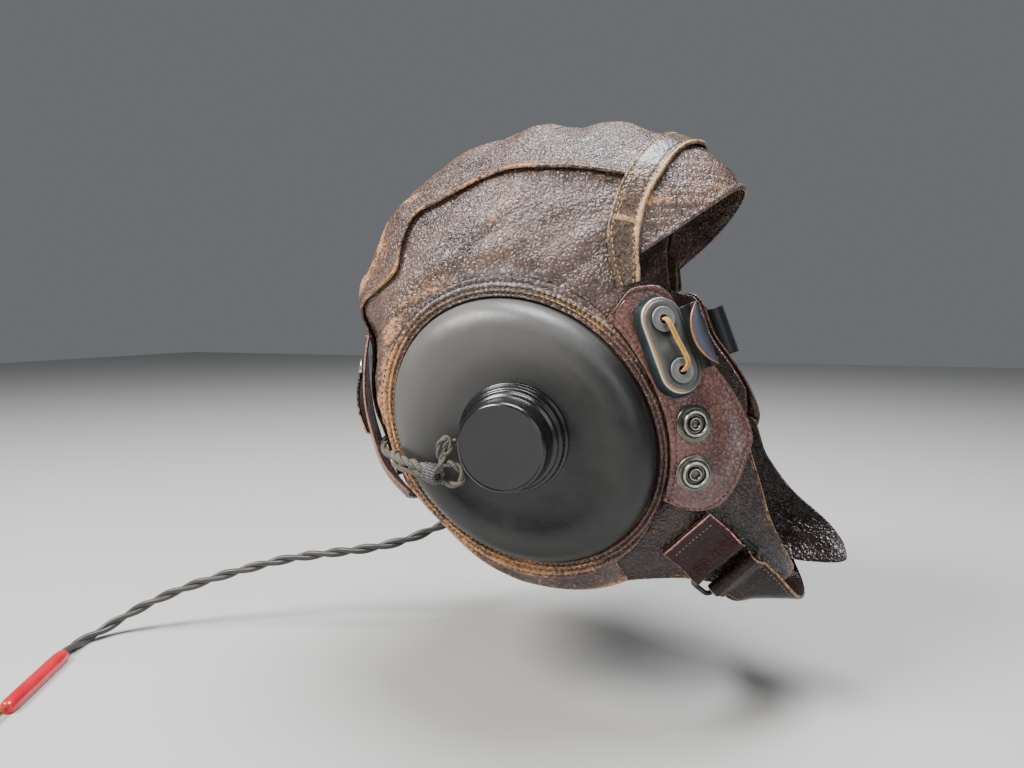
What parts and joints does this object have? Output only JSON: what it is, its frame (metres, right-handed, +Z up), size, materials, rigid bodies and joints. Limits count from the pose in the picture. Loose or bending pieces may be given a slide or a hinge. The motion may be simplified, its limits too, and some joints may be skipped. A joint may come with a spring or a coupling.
{
  "type": "flying_helmet",
  "caption": "Leather flying helmet in worn form with rubber ear cups, receivers, mask hooks, snap sockets, chin strap with buckle and a twisted cord with plug.",
  "frame": {"origin": "seat point on the inside of the crown, where a head carries the helmet", "axes": "+X to the wearer's front, +Y to the wearer's left, +Z up"},
  "size_m": [0.4237, 0.2788, 0.296],
  "materials": {
    "shell_leather": "worn, creased, pebbled grain",
    "reddish_leather": "polished reddish brown",
    "ear_rubber": "dusty satin",
    "receiver_black": "glossy moulded",
    "dark_metal": "blackened, worn to copper at the edges",
    "lace_yellow": "waxed",
    "lead_braid": "braided",
    "cord_cover": "twisted pair, satin",
    "plug_red": "glossy",
    "plug_brass": "satin"
  },
  "bodies": {
    "root": {"crown_panel": "shell_leather", "side_panel_right": "shell_leather", "side_panel_left": "shell_leather", "brow_panel": "shell_leather", "brow_band": "shell_leather", "ear_ring_right": "shell_leather", "ear_ring_left": "shell_leather", "cheek_patch_right": "reddish_leather", "cheek_patch_left": "reddish_leather", "chin_curtain_right": "shell_leather", "chin_curtain_left": "shell_leather", "ear_cup_right": "ear_rubber", "ear_cup_left": "ear_rubber", "receiver_right": "receiver_black", "receiver_left": "receiver_black", "mask_hook_right": "dark_metal", "mask_hook_left": "dark_metal", "grommet_upper_right": "dark_metal", "grommet_upper_left": "dark_metal", "grommet_lower_right": "dark_metal", "grommet_lower_left": "dark_metal", "hook_lace_right": "lace_yellow", "hook_lace_left": "lace_yellow", "snap_upper_right": "dark_metal", "snap_upper_left": "dark_metal", "snap_lower_right": "dark_metal", "snap_lower_left": "dark_metal", "buckle_tab": "reddish_leather", "chin_strap": "reddish_leather", "chin_buckle": "dark_metal", "rear_strap_right": "reddish_leather", "rear_strap_left": "reddish_leather", "rear_snap_right": "dark_metal", "rear_snap_left": "dark_metal", "receiver_lead_right": "lead_braid", "receiver_lead_left": "lead_braid", "lead_junction": "lead_braid", "cord": "cord_cover", "plug_sleeve": "plug_red", "plug_pin": "plug_brass"}
  },
  "joints": []
}
